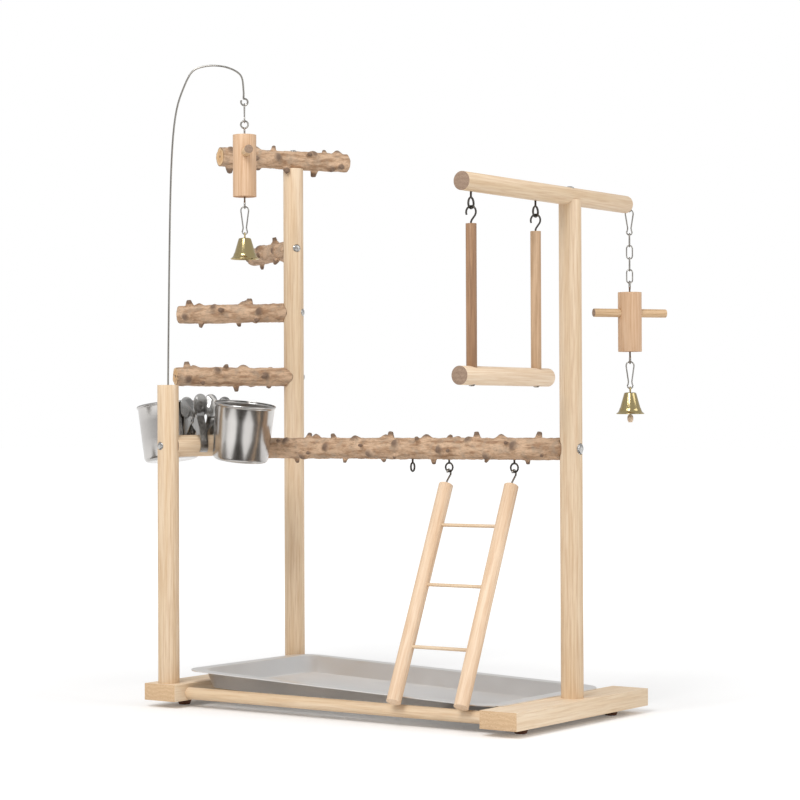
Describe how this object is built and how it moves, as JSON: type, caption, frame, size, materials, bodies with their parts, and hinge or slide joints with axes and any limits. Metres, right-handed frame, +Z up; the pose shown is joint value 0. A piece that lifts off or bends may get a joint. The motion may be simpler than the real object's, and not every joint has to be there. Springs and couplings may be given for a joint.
{
  "type": "parrot play stand",
  "caption": "Wooden tabletop perch stand for a parrot, with knobby perches, a swing, a ladder, hanging toys with bells, steel cups and a tray.",
  "frame": {"origin": "centre of the bottom of the bounding box, on the floor", "axes": "+Z up, -Y towards the front, X along the stand's long side"},
  "size_m": [0.5732, 0.3664, 0.6636],
  "materials": {
    "pine": "satin",
    "swing_wood": "satin",
    "block_wood": "satin",
    "bark": "rough",
    "rubber": "matte",
    "zinc": "satin",
    "stainless": "brushed",
    "bright_wire": "polished",
    "brass": "polished"
  },
  "bodies": {
    "stand": {"left_runner": "pine", "right_runner": "pine", "front_crossbar": "pine", "rear_crossbar": "pine", "rubber_feet": "rubber", "foot_screws": "zinc", "post_screws": "zinc", "front_left_post": "pine", "back_left_post": "pine", "right_post": "pine", "top_perch": "bark", "upper_side_perch": "bark", "middle_side_perch": "bark", "lower_side_perch": "bark", "long_perch": "bark", "cup_dowel": "pine", "top_dowel": "pine", "perch_screws": "zinc", "stand_eyes": "bright_wire"},
    "tray": {"tray": "stainless"},
    "ladder": {"ladder_hooks": "bright_wire", "ladder_rails": "pine", "ladder_rungs": "bright_wire"},
    "swing": {"swing_hooks": "bright_wire", "swing_rods": "swing_wood", "swing_perch": "swing_wood", "swing_screws": "zinc"},
    "wire_arm": {"wire_arm": "bright_wire"},
    "left_clip": {"left_clip": "bright_wire"},
    "left_block": {"left_block": "block_wood", "left_cross_peg": "swing_wood", "left_block_eyes": "bright_wire"},
    "left_bell_clip": {"left_bell_clip": "bright_wire"},
    "left_bell": {"left_bell": "brass"},
    "left_clapper": {"left_clapper": "swing_wood"},
    "right_clip": {"right_clip": "bright_wire"},
    "right_link_1": {"right_link_1": "bright_wire"},
    "right_link_2": {"right_link_2": "bright_wire"},
    "right_link_3": {"right_link_3": "bright_wire"},
    "right_link_4": {"right_link_4": "bright_wire"},
    "right_block": {"right_block": "block_wood", "right_cross_dowel": "block_wood", "right_block_eyes": "bright_wire"},
    "right_bell_clip": {"right_bell_clip": "bright_wire"},
    "right_bell": {"right_bell": "brass"},
    "right_clapper": {"right_clapper": "swing_wood"},
    "left_cup": {"left_cup": "stainless", "left_clamp_back_arm": "zinc", "left_clamp_pin": "zinc", "left_clamp_spring": "zinc", "left_cup_rivets": "zinc"},
    "left_jaw": {"left_clamp_front_arm": "zinc"},
    "right_cup": {"right_cup": "stainless", "right_clamp_back_arm": "zinc", "right_clamp_pin": "zinc", "right_clamp_spring": "zinc", "right_cup_rivets": "zinc"},
    "right_jaw": {"right_clamp_front_arm": "zinc"}
  },
  "joints": [
    {"name": "tray_lift", "type": "slide", "parent": "stand", "child": "tray", "axis": [0, 0.4982, 0.8671], "range_m": [0, 0.12]},
    {"name": "ladder_hinge", "type": "hinge", "parent": "stand", "child": "ladder", "pos_m": [0.15572, 0.00954, 0.24235], "axis": [-1, 0, 0], "range_deg": [0, 55]},
    {"name": "swing_hinge", "type": "hinge", "parent": "stand", "child": "swing", "pos_m": [0.26022, -0.10816, 0.48675], "axis": [0, 1, 0], "range_deg": [-40, 40]},
    {"name": "wire_arm_swivel", "type": "hinge", "parent": "stand", "child": "wire_arm", "pos_m": [-0.15478, -0.10786, 0.3318], "axis": [0, 0, 1], "range_deg": [-45, 45]},
    {"name": "left_clip_hinge", "type": "hinge", "parent": "wire_arm", "child": "left_clip", "pos_m": [-0.08973, -0.06129, 0.6208], "axis": [0.8131, 0.5821, 0], "range_deg": [-30, 30]},
    {"name": "left_block_hinge", "type": "hinge", "parent": "left_clip", "child": "left_block", "pos_m": [-0.08973, -0.06129, 0.6031], "axis": [-0.5821, 0.8131, 0], "range_deg": [-30, 20]},
    {"name": "left_bell_clip_hinge", "type": "hinge", "parent": "left_block", "child": "left_bell_clip", "pos_m": [-0.08973, -0.06129, 0.5143], "axis": [0.5821, -0.8131, 0], "range_deg": [-30, 30]},
    {"name": "left_bell_hinge", "type": "hinge", "parent": "left_bell_clip", "child": "left_bell", "pos_m": [-0.08973, -0.06129, 0.4875], "axis": [-0.8131, -0.5821, 0], "range_deg": [-25, 25]},
    {"name": "left_clapper_hinge", "type": "hinge", "parent": "left_bell", "child": "left_clapper", "pos_m": [-0.08973, -0.06129, 0.4775], "axis": [-0.5821, 0.8131, 0], "range_deg": [-22, 22]},
    {"name": "right_clip_hinge", "type": "hinge", "parent": "stand", "child": "right_clip", "pos_m": [0.26022, 0.12454, 0.5046], "axis": [0, 1, 0], "range_deg": [-30, 30]},
    {"name": "right_link_1_hinge", "type": "hinge", "parent": "right_clip", "child": "right_link_1", "pos_m": [0.26022, 0.12454, 0.4808], "axis": [0.8131, 0.5821, 0], "range_deg": [-35, 35]},
    {"name": "right_link_2_hinge", "type": "hinge", "parent": "right_link_1", "child": "right_link_2", "pos_m": [0.26022, 0.12454, 0.46865], "axis": [0.5821, -0.8131, 0], "range_deg": [-35, 35]},
    {"name": "right_link_3_hinge", "type": "hinge", "parent": "right_link_2", "child": "right_link_3", "pos_m": [0.26022, 0.12454, 0.45645], "axis": [-0.8131, -0.5821, 0], "range_deg": [-35, 35]},
    {"name": "right_link_4_hinge", "type": "hinge", "parent": "right_link_3", "child": "right_link_4", "pos_m": [0.26022, 0.12454, 0.44425], "axis": [-0.5821, 0.8131, 0], "range_deg": [-35, 35]},
    {"name": "right_block_hinge", "type": "hinge", "parent": "right_link_4", "child": "right_block", "pos_m": [0.26022, 0.12454, 0.43205], "axis": [0.8131, 0.5821, 0], "range_deg": [-30, 30]},
    {"name": "right_bell_clip_hinge", "type": "hinge", "parent": "right_block", "child": "right_bell_clip", "pos_m": [0.26022, 0.12454, 0.3507], "axis": [-0.5821, 0.8131, 0], "range_deg": [-30, 30]},
    {"name": "right_bell_hinge", "type": "hinge", "parent": "right_bell_clip", "child": "right_bell", "pos_m": [0.26022, 0.12454, 0.3254], "axis": [-0.8131, -0.5821, 0], "range_deg": [-25, 25]},
    {"name": "right_clapper_hinge", "type": "hinge", "parent": "right_bell", "child": "right_clapper", "pos_m": [0.26022, 0.12454, 0.3154], "axis": [0.5821, -0.8131, 0], "range_deg": [-22, 22]},
    {"name": "left_cup_tilt", "type": "hinge", "parent": "stand", "child": "left_cup", "pos_m": [-0.14868, -0.06934, 0.2688], "axis": [-0.1564, -0.9877, 0], "range_deg": [-4, 12]},
    {"name": "left_jaw_hinge", "type": "hinge", "parent": "left_cup", "child": "left_jaw", "pos_m": [-0.15239, -0.06875, 0.29554], "axis": [-0.1564, -0.9877, 0], "range_deg": [0, 9], "stiffness_Nm_per_rad": 0.3, "springref_deg": -28.65, "deforming": ["left_clamp_spring"]},
    {"name": "right_cup_tilt", "type": "hinge", "parent": "stand", "child": "right_cup", "pos_m": [-0.14492, -0.04563, 0.2688], "axis": [0.1564, 0.9877, 0], "range_deg": [-4, 12]},
    {"name": "right_jaw_hinge", "type": "hinge", "parent": "right_cup", "child": "right_jaw", "pos_m": [-0.14121, -0.04622, 0.29554], "axis": [0.1564, 0.9877, 0], "range_deg": [0, 9], "stiffness_Nm_per_rad": 0.3, "springref_deg": -28.65, "deforming": ["right_clamp_spring"]}
  ]
}
